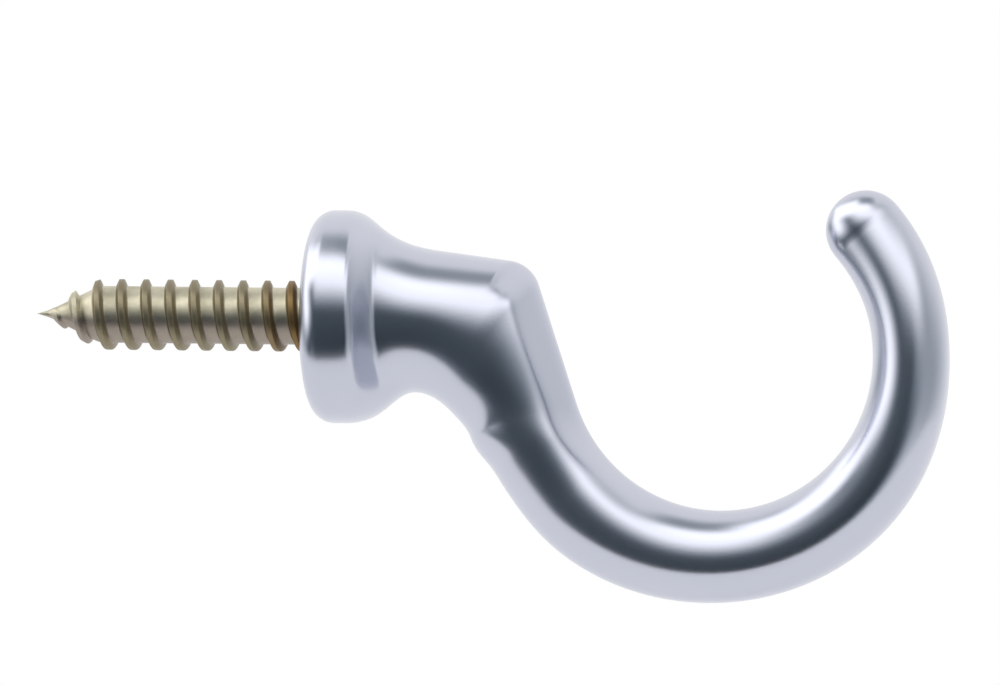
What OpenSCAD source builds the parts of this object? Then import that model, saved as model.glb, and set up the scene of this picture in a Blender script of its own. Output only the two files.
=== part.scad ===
// Screw hook: a one-piece die-cast hook body with a steel wood screw cast into its base.
// Frame: the origin is the middle of the base's wall face, on the screw's axis.
// +X points out from the wall, +Z is up and the hook opens upwards, Y runs across.

/* [Base] */
// Diameter of the round base
base_d = 15; // [14:0.1:20]
// Radius of the base's rear edge
base_edge_r = 1.5; // [0.8:0.05:1.8]
// Width of the straight band behind the shoulder
base_band = 0.8; // [0.1:0.05:1.2]
// Length over which the upper shoulder leaves the band
shoulder_top = 2.2; // [1.4:0.1:3]
// Length over which the lower shoulder leaves the band
shoulder_low = 3; // [2:0.1:4]
// Distance from the wall at which the base's sides end
flank_start = 3.4; // [2.6:0.1:4]
// Distance from the wall at which the neck's sides start
flank_end = 5.3; // [4.8:0.1:6.5]
// Diameter of the relief recess round the screw
recess_d = 6.4; // [5.6:0.1:8]
// Depth of the relief recess
recess_depth = 0.8; // [0.4:0.05:1.2]

/* [Neck] */
// Diameter of the round neck
neck_d = 10.1; // [9:0.1:11]
// Downward slope of the neck, in degrees
neck_slope = 7.3; // [3:0.1:10]
// Length over which the upper shoulder settles into the neck
neck_fair_top = 4.6; // [2:0.1:6]
// Length over which the lower shoulder settles into the neck
neck_fair_low = 1.9; // [1:0.1:3]
// Distance of the underside bend's centre from the wall
bend_x = 6.95; // [6.5:0.05:9]
// Depth of the underside bend's centre below the screw's axis
bend_drop = 9.95; // [9.6:0.05:10.8]
// Radius of the underside bend where it leaves the neck
bend_r = 4.7; // [4.2:0.05:5]
// Radius of the underside bend at its middle
bend_mid_r = 4.46; // [3.9:0.02:5]
// Radius of the underside bend where it meets the arm
bend_end_r = 4.65; // [4:0.05:5]
// Radius of the rounded top corner
corner_r = 2.5; // [1:0.1:3.5]

/* [Hook] */
// Distance of the hook's centre from the wall
hook_x = 29.1; // [28:0.1:32]
// Depth of the hook's centre below the screw's axis
hook_drop = 2.5; // [1.5:0.1:4]
// Inner radius of the hook
hook_r = 10.85; // [10:0.05:11.5]
// Height of the tip above the hook's centre, in degrees of arc
tip_rise = 41.2; // [20:0.2:50]
// Thickness of the bar on the arm
arm_t = 7.2; // [6.6:0.05:7.8]
// Thickness of the bar where the arm enters the round of the hook
entry_t = 7.1; // [6:0.05:7.5]
// Thickness of the bar at the bottom of the hook
bottom_t = 6.5; // [5.5:0.05:7.5]
// Thickness of the bar where it rises to the tip
rise_t = 6.05; // [5:0.05:7]
// Thickness of the bar at the hook's outermost side
side_t = 5.35; // [4.5:0.05:6.5]
// Thickness of the bar at the tip
tip_t = 5.65; // [4.5:0.05:6.5]
// Distance by which the tip leans into the hook
tip_lean = 0.1; // [0:0.05:0.8]

/* [Bar widths] */
// Width of the bar across, below the top corner
corner_w = 9.8; // [9:0.1:11]
// Width of the bar across, where the arm's face ends
root_w = 8.6; // [7.5:0.1:9.5]
// Width of the bar across, on the arm
arm_w = 7.4; // [6.5:0.1:8.5]
// Width of the bar across, at the bottom of the hook
bottom_w = 6.7; // [5.5:0.1:8]
// Width of the bar across, at the hook's outermost side
side_w = 7.4; // [5:0.1:8]
// Width of the bar across, at the tip
tip_w = 4.6; // [4:0.1:7]
// Rate at which the bar narrows at the tip, as a fall of its half width over the last arc
tip_taper = 3; // [0:0.1:3.5]
// Share of the bar's thickness that lies outside its widest line, at the bottom
bottom_share = 0.44; // [0.4:0.01:0.5]

/* [Inner face] */
// Fall of the inner face from its ridge, for each millimetre across
face_fall = 0.5; // [0.3:0.01:0.6]
// Depth by which the inner face cuts the round of the arm
face_cut = 0.4; // [0.2:0.05:0.7]
// Sharpness of the inner face's edges at the top corner
edge_sharpness = 40; // [20:1:60]

/* [Screw] */
// Outer diameter of the thread
thread_d = 5; // [4.6:0.05:5.2]
// Diameter of the screw's core
core_d = 4; // [3.4:0.05:4.2]
// Pitch of the thread
pitch = 1.74; // [1.4:0.02:2.2]
// Width of the thread at its crest
crest_w = 0.36; // [0.2:0.02:0.5]
// Width of the thread at its root
root_band = 0.86; // [0.7:0.02:1]
// Length of the screw in front of the wall face
screw_len = 19.9; // [16:0.1:26]
// Length of the gimlet point
point_len = 4.5; // [3:0.1:6]
// Length of the needle at the very tip
needle_len = 0.95; // [0.5:0.05:1.3]
// Radius of the core where the needle starts
needle_r = 0.28; // [0.15:0.01:0.4]
// Turn of the thread round its axis, in degrees
thread_phase = 0; // [0:5:355]

/* [Anchor] */
// Diameter of the screw's end inside the base
anchor_d = 4.4; // [4.3:0.05:5]
// Length of the screw's end inside the base, from the recess
anchor_len = 6.6; // [5:0.1:7.5]
// Depth of the anchor's locking groove
groove_depth = 0.45; // [0.2:0.05:0.6]
// Width of the anchor's locking groove
groove_w = 1.4; // [0.8:0.1:2]
// Gap that the cast metal leaves round the anchor
anchor_gap = 0.02; // [0.01:0.01:0.05]

/* [Hidden] */
$fn = 96;

// Outlines are drawn in the plane of the hook, as [x, z] pairs.
bend_c = [bend_x, -bend_drop];
hook_c = [hook_x, -hook_drop];
centre_gap = norm(hook_c - bend_c);
// Direction from the bend's centre to the hook's: the inner face looks this way
face_dir = atan2(hook_c[1] - bend_c[1], hook_c[0] - bend_c[0]);
neck_dir = 90 - neck_slope;
neck_line = bend_r + neck_d;
face_line = centre_gap - hook_r;
root_t = face_line - bend_end_r;
shoulder_x = base_edge_r + base_band;
lap = 0.5;
rim_inset = 0.04;

// Directions from the hook's centre, in degrees, in the order in which the bar passes them
root_angle = 180 + face_dir;
arm_angle = 208;
mid_angle = 225;
entry_angle = 232;
low_angle = 270;
rise_angle = 315;
side_angle = 360;
lean_angle = 372;
tip_angle = 360 + tip_rise;

// Steps along the body and round its section
shoulder_steps = 20;
bend_steps = 26;
hook_steps = 46;
cap_steps = 6;
face_steps = 9;
back_steps = 15;
section_points = 2 * (face_steps + back_steps);
spread = 1.6;
ridge_ease = 0.12;
low_cut = face_cut / 4;
round_sharpness = 9;

function along(a) = [cos(a), sin(a)];
function cubic(p0, p1, p2, p3, t) =
    pow(1 - t, 3) * p0 + 3 * pow(1 - t, 2) * t * p1 + 3 * (1 - t) * t * t * p2 + pow(t, 3) * p3;

// Smooth curve through [place, value] pairs, level at both ends
function key_slope(keys, i) =
    i == 0 || i == len(keys) - 1 ? 0
    : (keys[i + 1][1] - keys[i - 1][1]) / (keys[i + 1][0] - keys[i - 1][0]);
function key_index(keys, u, i = 0) =
    i >= len(keys) - 2 || u <= keys[i + 1][0] ? i : key_index(keys, u, i + 1);
function through(keys, u) =
    let (
        i = key_index(keys, u),
        h = keys[i + 1][0] - keys[i][0],
        t = min(max((u - keys[i][0]) / h, 0), 1),
        m0 = h * key_slope(keys, i),
        m1 = h * key_slope(keys, i + 1)
    )
    (2 * pow(t, 3) - 3 * t * t + 1) * keys[i][1] + (pow(t, 3) - 2 * t * t + t) * m0
        + (3 * t * t - 2 * pow(t, 3)) * keys[i + 1][1] + (pow(t, 3) - t * t) * m1;

// Distance from the bend's centre, in direction a, to an outline of two lines with a rounded corner:
// the neck's upper line and a line that looks in face_dir, d away
function corner_centre(d, r) =
    let (p = neck_line - r, q = d - r, s = sin(neck_dir - face_dir))
    [
        (q * sin(neck_dir) - p * sin(face_dir)) / s,
        (p * cos(face_dir) - q * cos(neck_dir)) / s
    ];
function top_distance(a, d, r) =
    let (
        c = corner_centre(d, r),
        on_neck = c + r * along(neck_dir),
        on_face = c + r * along(face_dir),
        reach = c * along(a)
    )
    a >= atan2(on_neck[1], on_neck[0]) ? neck_line / cos(a - neck_dir)
    : a <= atan2(on_face[1], on_face[0]) ? d / cos(a - face_dir)
    : reach + sqrt(max(r * r - c * c + reach * reach, 0));

// Sections: [outer point, direction to the inner side, thickness, outer share, half width,
// depth of the cut, fall of the face, sharpness, direction of the face's edge]
function section(p, dir, t, share, half, cut, fall, sharp, edge) =
    [p, dir, t, share, half, cut, fall, sharp, edge];

// Keys along the bend go from 0 at the neck to 1 where the arm's face ends
corner_place = 0.5;
bend_place = 0.6;
bend_half = [[0, neck_d / 2], [corner_place, corner_w / 2], [1, root_w / 2]];
bend_sharp = [[0, edge_sharpness], [bend_place, edge_sharpness], [1, edge_sharpness / 2]];
bend_low = [[0, bend_r], [bend_place, bend_mid_r], [1, bend_end_r]];

// Keys along the hook are directions from its centre
hook_half = [
    [root_angle, root_w / 2],
    [mid_angle, arm_w / 2],
    [low_angle, bottom_w / 2],
    [side_angle, side_w / 2],
    [tip_angle, tip_w / 2],
    [2 * tip_angle - side_angle, tip_w / 2 - tip_taper]
];
hook_thick = [
    [root_angle, root_t],
    [arm_angle, arm_t],
    [entry_angle, entry_t],
    [low_angle, bottom_t],
    [rise_angle, rise_t],
    [side_angle, side_t],
    [tip_angle, tip_t]
];
hook_lean = [[lean_angle, 0], [tip_angle, tip_lean]];
hook_share = [
    [root_angle, 0.5],
    [low_angle, bottom_share],
    [side_angle, bottom_share],
    [tip_angle, 0.5]
];
hook_cut = [[root_angle, face_cut], [low_angle, low_cut], [tip_angle, 0]];
hook_sharp = [
    [root_angle, edge_sharpness / 2],
    [mid_angle, round_sharpness],
    [tip_angle, round_sharpness]
];

// The skin's points crowd towards these directions, where the face's edges are sharpest
neck_edge = 46;
bend_mid_edge = 56;
root_edge = 61;
arm_edge = 50;
round_edge = 35;
edge_place = 0.35;
bend_edge = [[0, neck_edge], [edge_place, neck_edge], [bend_place, bend_mid_edge], [1, root_edge]];
hook_edge = [
    [root_angle, root_edge],
    [mid_angle, arm_edge],
    [low_angle, round_edge],
    [tip_angle, round_edge]
];

// Shoulder: from the base's band to the neck
band_top = [shoulder_x, base_d / 2 - rim_inset];
band_low = [shoulder_x, rim_inset - base_d / 2];
neck_top = bend_c + neck_line * along(neck_dir);
neck_low = bend_c + bend_r * along(neck_dir);
neck_run = along(-neck_slope);
fair_top = neck_top - neck_fair_top * neck_run;
fair_low = neck_low - neck_fair_low * neck_run;
neck_fall = face_fall / cos(neck_dir - face_dir);
flank = [[flank_start, base_d / 2 - rim_inset], [flank_end, neck_d / 2]];
function shoulder_section(t) =
    let (
        top = cubic(band_top, band_top + [shoulder_top, 0], fair_top, neck_top, t),
        low = cubic(band_low, band_low + [shoulder_low, 0], fair_low, neck_low, t),
        d = norm(top - low),
        half = through(flank, (top[0] + low[0]) / 2)
    )
    section(low, (top - low) / d, d, 0.5, half, 0, t * neck_fall, edge_sharpness, neck_edge);

// Bend: from the neck to the arm, in planes through the bend's centre
function bend_section(u) =
    let (
        a = neck_dir + (face_dir - neck_dir) * u,
        reach = top_distance(a, face_line, corner_r),
        whole = top_distance(a, face_line + face_cut, corner_r / 2),
        low = through(bend_low, u),
        t = reach - low,
        outer = through([[0, neck_d / 2], [1, root_t / 2]], u)
    )
    section(
        bend_c + low * along(a), along(a), t, outer / t,
        through(bend_half, u), max(whole - reach, 0), face_fall / cos(a - face_dir),
        through(bend_sharp, u), through(bend_edge, u)
    );

// Hook: in planes through the hook's centre
function hook_section(a) =
    let (t = through(hook_thick, a), lean = through(hook_lean, a))
    section(
        hook_c + (hook_r - lean + t) * along(a), -along(a), t, through(hook_share, a),
        through(hook_half, a), through(hook_cut, a), face_fall,
        through(hook_sharp, a), through(hook_edge, a)
    );

// Distance from a section's widest line to its skin, in direction a: 0 is the inner side
function skin(s, a) =
    let (
        outer = s[2] * s[3],
        reach = s[2] - outer,
        whole = reach + s[5],
        n = s[7],
        axis = cos(a) > 0 ? whole : outer,
        e = sqrt(pow(cos(a) / axis, 2) + pow(sin(a) / s[4], 2)),
        face = max(cos(a) + s[6] * (sqrt(pow(sin(a), 2) + pow(ridge_ease, 2)) - ridge_ease), 0),
        k = pow(reach, -n) - pow(whole, -n)
    )
    pow(pow(e, n) + k * pow(face, n), -1 / n);

function section_angle(edge, i) =
    i <= face_steps ? edge * (1 - pow(1 - i / face_steps, spread))
    : edge + (180 - edge) * pow((i - face_steps) / back_steps, spread);

// Points round a section, shrunk by k and moved by v
function ring(s, k = 1, v = [0, 0]) =
    let (
        c = s[0] + s[1] * s[2] * s[3],
        mid = s[0] + s[1] * s[2] / 2
    )
    [
        for (i = [0:section_points - 1])
            let (
                j = min(i, section_points - i),
                a = section_angle(s[8], j),
                d = skin(s, a),
                p = mid + (c + s[1] * d * cos(a) - mid) * k + v,
                y = (i == j ? -1 : 1) * d * sin(a) * k
            )
            [p[0], y, p[1]]
    ];

// Skin over a row of rings, with both ends closed to a point
module skinned(rings, start, finish) {
    n = len(rings[0]);
    rows = len(rings);
    points = concat([for (r = rings) each r], [start, finish]);
    sides = [
        for (k = [0:rows - 2], i = [0:n - 1])
            let (a = k * n + i, b = k * n + (i + 1) % n)
            each [[a, a + n, b + n], [a, b + n, b]]
    ];
    first = [for (i = [0:n - 1]) [rows * n, i, (i + 1) % n]];
    last = [for (i = [0:n - 1]) [rows * n + 1, (rows - 1) * n + (i + 1) % n, (rows - 1) * n + i]];
    polyhedron(points, concat(sides, first, last));
}

// Bar: shoulder, neck, arm, hook and rounded tip as one skin
module bar() {
    tip = hook_section(tip_angle);
    tip_run = along(tip_angle + 90);
    shoulders = [for (i = [0:shoulder_steps - 1]) shoulder_section(i / shoulder_steps)];
    bends = [for (i = [0:bend_steps - 1]) bend_section(i / bend_steps)];
    hooks = [
        for (i = [0:hook_steps - 1])
            hook_section(root_angle + (tip_angle - root_angle) * i / hook_steps)
    ];
    rings = concat(
        [ring(shoulders[0], 1, [-lap, 0])],
        [for (s = concat(shoulders, bends, hooks)) ring(s)],
        [
            for (i = [0:cap_steps - 1])
                let (b = 90 * i / cap_steps)
                ring(tip, cos(b), tip_run * tip_t / 2 * sin(b))
        ]
    );
    end = tip[0] + tip[1] * tip[2] / 2 + tip_run * tip_t / 2;
    skinned(rings, [shoulder_x - lap, 0, 0], [end[0], 0, end[1]]);
}

// Base disc behind the shoulder, with its rounded rear edge
module base_disc() {
    edge_c = base_d / 2 - base_edge_r;
    rotate([0, 90, 0])
        rotate_extrude() {
            square([edge_c, shoulder_x]);
            translate([edge_c, base_edge_r])
                square([base_edge_r, base_band]);
            intersection() {
                translate([edge_c, base_edge_r])
                    circle(base_edge_r);
                translate([edge_c, 0])
                    square([base_edge_r, base_edge_r]);
            }
        }
}

// Screw's end inside the base, or with a gap the hollow that the metal leaves round it
module anchor(start, gap) {
    r = anchor_d / 2 + gap;
    groove_r = anchor_d / 2 - groove_depth + gap;
    groove_x = recess_depth + (anchor_len - groove_w) / 2;
    end = recess_depth + anchor_len + gap;
    rotate([0, 90, 0]) {
        translate([0, 0, start])
            cylinder(r = r, h = groove_x + gap - start);
        translate([0, 0, groove_x])
            cylinder(r = groove_r, h = groove_w);
        translate([0, 0, groove_x + groove_w - gap])
            cylinder(r = r, h = end - groove_x - groove_w + gap);
    }
}

module hook_body() {
    color("silver")
        difference() {
            union() {
                base_disc();
                bar();
            }
            translate([-lap, 0, 0])
                rotate([0, 90, 0])
                    cylinder(d = recess_d, h = lap + recess_depth);
            anchor(recess_depth - lap, anchor_gap);
        }
}

// Thread: four lines (root, crest, crest, root) wound round the core, held between the two ends
thread_sides = 36;
thread_h = (thread_d - core_d) / 2;
thread_end = recess_depth;
runout = 1.2;
tip_r = 0.03;
point_start = point_len - screw_len;
needle_start = needle_len - screw_len;
line_places = [0, (root_band - crest_w) / 2, (root_band + crest_w) / 2, root_band];
line_heights = [0, thread_h, thread_h, 0];
lines = len(line_places);
spare_turns = 2;
turns = ceil((screw_len + thread_end) / pitch) + 2 * spare_turns;
rows = lines * turns;

// Radius of the core, and share of the thread's full height, at a place along the screw
function blend(a, b, t) = a + (b - a) * t;
function core_r(x) =
    x > point_start ? core_d / 2
    : x > needle_start ? blend(needle_r, core_d / 2, (x - needle_start) / (point_start - needle_start))
    : blend(tip_r, needle_r, (x + screw_len) / needle_len);
function held(v) = min(max(v, 0), 1);
function thread_share(x) = held((x - needle_start) / pitch) * held((thread_end - lap / 2 - x) / runout);

// Line k at step i of a turn: a step past the turn's end is the same line one turn on
function line_x(k, i) =
    let (turn = floor(k / lines) - spare_turns + i / thread_sides)
    min(max(pitch * turn + line_places[k % lines] - screw_len, -screw_len), thread_end);
function line_point(k, i) =
    let (
        x = line_x(k, i),
        r = core_r(x) + line_heights[k % lines] * thread_share(x),
        a = thread_phase + 360 * i / thread_sides
    )
    [x, r * cos(a), r * sin(a)];
function line_index(k, i) = i < thread_sides ? k * thread_sides + i : (k + lines) * thread_sides;
function closed_up(k, i) = line_x(k, i) == line_x(k + 1, i);

module thread() {
    n = thread_sides;
    points = [for (k = [0:rows], i = [0:n - 1]) line_point(k, i)];
    sides = [
        for (k = [0:rows - lines - 1], i = [0:n - 1])
            let (
                a = line_index(k, i),
                b = line_index(k, i + 1),
                c = line_index(k + 1, i + 1),
                d = line_index(k + 1, i)
            )
            each concat(
                closed_up(k, i) ? [] : [[a, d, c]],
                closed_up(k, i + 1) ? [] : [[a, c, b]]
            )
    ];
    start = len(points);
    first = [for (i = [0:n - 1]) [start, i, (i + 1) % n]];
    last_row = (rows - lines) * n;
    last = [for (i = [0:n - 1]) [start + 1, last_row + (i + 1) % n, last_row + i]];
    ends = [[-screw_len - tip_r, 0, 0], [thread_end, 0, 0]];
    polyhedron(concat(points, ends), concat(sides, first, last));
}

module wood_screw() {
    color("darkkhaki") {
        thread();
        anchor(recess_depth - lap, 0);
    }
}

hook_body();
wood_screw();
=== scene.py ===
"""Screw hook: a cast hook body, plated in satin chrome, on a yellow zinc-plated wood screw.

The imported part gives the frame: the origin is the middle of the base's wall face, +X points out
from the wall and +Z is up.  Sizes in this file are millimetres and degrees, as on a drawing, and
become metres where a mesh is made.
"""

import logging
import math
from dataclasses import dataclass, field, replace
from enum import Enum
from typing import Any, Callable, Sequence

import bpy
import numpy as np
from mathutils import Matrix, Vector

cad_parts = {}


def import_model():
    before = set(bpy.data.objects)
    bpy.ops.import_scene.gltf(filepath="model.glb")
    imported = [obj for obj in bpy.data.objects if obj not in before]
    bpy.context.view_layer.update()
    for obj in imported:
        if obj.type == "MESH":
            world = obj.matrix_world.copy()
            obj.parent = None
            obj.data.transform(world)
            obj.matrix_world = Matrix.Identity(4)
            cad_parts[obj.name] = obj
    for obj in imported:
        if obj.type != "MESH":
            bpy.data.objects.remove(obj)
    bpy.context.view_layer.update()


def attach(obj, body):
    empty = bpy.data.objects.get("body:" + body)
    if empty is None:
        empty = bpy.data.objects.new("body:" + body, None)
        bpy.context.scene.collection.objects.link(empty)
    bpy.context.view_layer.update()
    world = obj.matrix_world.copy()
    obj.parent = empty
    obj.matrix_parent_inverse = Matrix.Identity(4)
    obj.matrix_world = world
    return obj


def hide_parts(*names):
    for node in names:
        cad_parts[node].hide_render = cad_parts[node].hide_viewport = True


LOG = logging.getLogger("screw_hook")
MM = 0.001

# A ring of a smaller radius than this, in millimetres, is a larger one that is shrunk.
LEAST_RING = 1.0

Socket = bpy.types.NodeSocket
# A Term, or a plain value that a socket takes.
Value = Any
Keys = Sequence[tuple[float, float]]
Colour = tuple[float, float, float]

# Where the Mix node keeps the sockets of its colour mode.
MIX_SHARE, MIX_LOW, MIX_HIGH, MIX_RESULT = 0, 6, 7, 2


def along(angle: float) -> np.ndarray:
    """Gives the unit direction [x, z] at an angle in degrees from +X."""
    return np.array([math.cos(math.radians(angle)), math.sin(math.radians(angle))])


def bearing(vector: np.ndarray) -> float:
    """Gives the angle in degrees of a direction [x, z]."""
    return math.degrees(math.atan2(vector[1], vector[0]))


def mix(low: float, high: float, share: float) -> float:
    """Goes from low to high as share goes from 0 to 1."""
    return low + (high - low) * share


def cubic(points: Sequence[np.ndarray], share: float) -> np.ndarray:
    """Gives a point of a cubic curve.

    Args:
        points: The curve's four control points.
        share: How far along the curve, from 0 to 1.

    Returns:
        The point.
    """
    rest = 1 - share
    weights = (rest**3, 3 * rest**2 * share, 3 * rest * share**2, share**3)
    return sum(weight * point for weight, point in zip(weights, points))


def through(keys: Keys, place: float) -> float:
    """Reads the smooth curve through (place, value) keys, level at both ends.

    Args:
        keys: The keys, in rising order of place.
        place: Where to read the curve.

    Returns:
        The curve's value there.
    """
    last = len(keys) - 1

    def slope(i: int) -> float:
        """Gives the curve's slope at a key.

        Args:
            i: The key's number.

        Returns:
            The slope, which is 0 at both ends.
        """
        if i in (0, last):
            return 0.0
        return (keys[i + 1][1] - keys[i - 1][1]) / (keys[i + 1][0] - keys[i - 1][0])

    i = 0
    while i < last - 1 and place > keys[i + 1][0]:
        i += 1
    run = keys[i + 1][0] - keys[i][0]
    t = min(max((place - keys[i][0]) / run, 0), 1)
    return (
        (2 * t**3 - 3 * t**2 + 1) * keys[i][1]
        + (t**3 - 2 * t**2 + t) * run * slope(i)
        + (3 * t**2 - 2 * t**3) * keys[i + 1][1]
        + (t**3 - t**2) * run * slope(i + 1)
    )


def rounded(corners: Sequence[tuple[float, float, float]], steps: int) -> list[np.ndarray]:
    """Walks an outline and rounds its corners.

    Args:
        corners: (x, radius, rounding) of each corner, the first and last of which stay sharp.
        steps: Steps on each rounding.

    Returns:
        The points of the walk, as [x, radius].
    """
    places = [np.array(corner[:2]) for corner in corners]
    walk = [places[0]]
    for before, here, after, corner in zip(places, places[1:], places[2:], corners[1:]):
        rounding = corner[2]
        back = (before - here) / np.linalg.norm(before - here)
        ahead = (after - here) / np.linalg.norm(after - here)
        start, end = here + back * rounding, here + ahead * rounding
        for i in range(steps + 1):
            t = i / steps
            walk.append((1 - t) ** 2 * start + 2 * t * (1 - t) * here + t**2 * end)
    walk.append(places[-1])
    return walk


def operator(operation: str, swapped: bool = False) -> Callable[["Term", Value], "Term"]:
    """Gives the method that turns an operator between two values into a Math node.

    Args:
        operation: The Math node's operation.
        swapped: Whether the term stands to the right of the operator.

    Returns:
        The method.
    """

    def method(self: "Term", other: Value) -> "Term":
        """Adds the Math node."""
        return self.make.math(operation, *((other, self) if swapped else (self, other)))

    return method


class Term:
    """A value inside a node tree, with which formulas are written as with numbers."""

    def __init__(self, make: "NodeMaker", socket: Socket) -> None:
        """Takes the maker of the tree's nodes and the socket that gives the value."""
        self.make = make
        self.socket = socket

    __add__ = operator("ADD")
    __sub__, __rsub__ = operator("SUBTRACT"), operator("SUBTRACT", swapped=True)
    __mul__ = operator("MULTIPLY")
    __truediv__, __rtruediv__ = operator("DIVIDE"), operator("DIVIDE", swapped=True)
    __pow__ = operator("POWER")


class NodeMaker:
    """Adds the nodes of one tree and joins them."""

    def __init__(self, tree: bpy.types.NodeTree) -> None:
        """Takes the tree that the nodes go into."""
        self.tree = tree

    def node(self, kind: str, **settings: Any) -> bpy.types.Node:
        """Adds one node.

        Args:
            kind: The node's type.
            **settings: Properties of the node and their values.

        Returns:
            The new node.
        """
        made = self.tree.nodes.new(kind)
        for name, value in settings.items():
            setattr(made, name, value)
        return made

    def feed(self, node: bpy.types.Node, values: dict[str | int, Value]) -> None:
        """Joins inputs of a node to terms, or sets them to plain values.

        Args:
            node: The node.
            values: A value for the name or number of each input.
        """
        for key, value in values.items():
            if isinstance(value, Term):
                self.tree.links.new(value.socket, node.inputs[key])
            else:
                node.inputs[key].default_value = value

    def result(
        self, kind: str, values: dict[str | int, Value], output: str | int = 0, **settings: Any
    ) -> Term:
        """Adds one node, feeds it and gives what comes out.

        Args:
            kind: The node's type.
            values: What goes into its inputs.
            output: The output that is wanted.
            **settings: Properties of the node and their values.

        Returns:
            The output.
        """
        made = self.node(kind, **settings)
        self.feed(made, values)
        return Term(self, made.outputs[output])

    def math(self, operation: str, *values: Value) -> Term:
        """Adds a Math node and gives its result."""
        return self.result("ShaderNodeMath", dict(enumerate(values)), operation=operation)

    def vector(self, operation: str, *values: Value) -> Term:
        """Adds a Vector Math node.

        Args:
            operation: The node's operation.
            *values: What goes into it; for SCALE, a vector and a number.

        Returns:
            The result, which is a number for DOT_PRODUCT.
        """
        keys = (0, "Scale") if operation == "SCALE" else range(len(values))
        output = "Value" if operation == "DOT_PRODUCT" else "Vector"
        fed = dict(zip(keys, values))
        return self.result("ShaderNodeVectorMath", fed, output, operation=operation)

    def combine(self, *parts: Value) -> Term:
        """Makes a vector from its three parts."""
        return self.result("ShaderNodeCombineXYZ", dict(enumerate(parts)))

    def parts(self, vector: Value) -> list[Term]:
        """Takes a vector apart.

        Args:
            vector: The vector.

        Returns:
            Its x, y and z.
        """
        made = self.node("ShaderNodeSeparateXYZ")
        self.feed(made, {0: vector})
        return [Term(self, socket) for socket in made.outputs]

    def held(self, value: Value) -> Term:
        """Holds a value between 0 and 1."""
        settings = {"operation": "MULTIPLY", "use_clamp": True}
        return self.result("ShaderNodeMath", {0: value, 1: 1.0}, **settings)

    def ease(self, value: Value, start: Value, end: Value) -> Term:
        """Goes smoothly from 0 to 1 as the value goes from start to end."""
        fed = {"Value": value, "From Min": start, "From Max": end}
        return self.result("ShaderNodeMapRange", fed, interpolation_type="SMOOTHSTEP")

    def blend(self, low: Value, high: Value, share: Value) -> Term:
        """Mixes two colours.

        Args:
            low: The colour at a share of 0.
            high: The colour at a share of 1.
            share: The share of the second colour.

        Returns:
            The colour.
        """
        fed = {MIX_SHARE: share, MIX_LOW: low, MIX_HIGH: high}
        for key, value in fed.items():
            if isinstance(value, tuple):
                fed[key] = (*value, 1.0)
        return self.result("ShaderNodeMix", fed, MIX_RESULT, data_type="RGBA")

    def ramp(self, value: Value, stops: Sequence[tuple[float, Colour]]) -> Term:
        """Turns a value into a colour.

        Args:
            value: The value, from 0 to 1.
            stops: (place, colour) pairs in rising order.

        Returns:
            The colour.
        """
        made = self.node("ShaderNodeValToRGB")
        elements = made.color_ramp.elements
        while len(elements) < len(stops):
            elements.new(1.0)
        for element, (place, colour) in zip(elements, stops):
            element.position = place
            element.color = (*colour, 1.0)
        self.feed(made, {0: value})
        return Term(self, made.outputs["Color"])


def placed(name: str, data: bpy.types.ID) -> bpy.types.Object:
    """Puts a new object into the scene.

    Args:
        name: Its name.
        data: Its mesh or camera.

    Returns:
        The object.
    """
    made = bpy.data.objects.new(name, data)
    bpy.context.scene.collection.objects.link(made)
    return made


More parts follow.
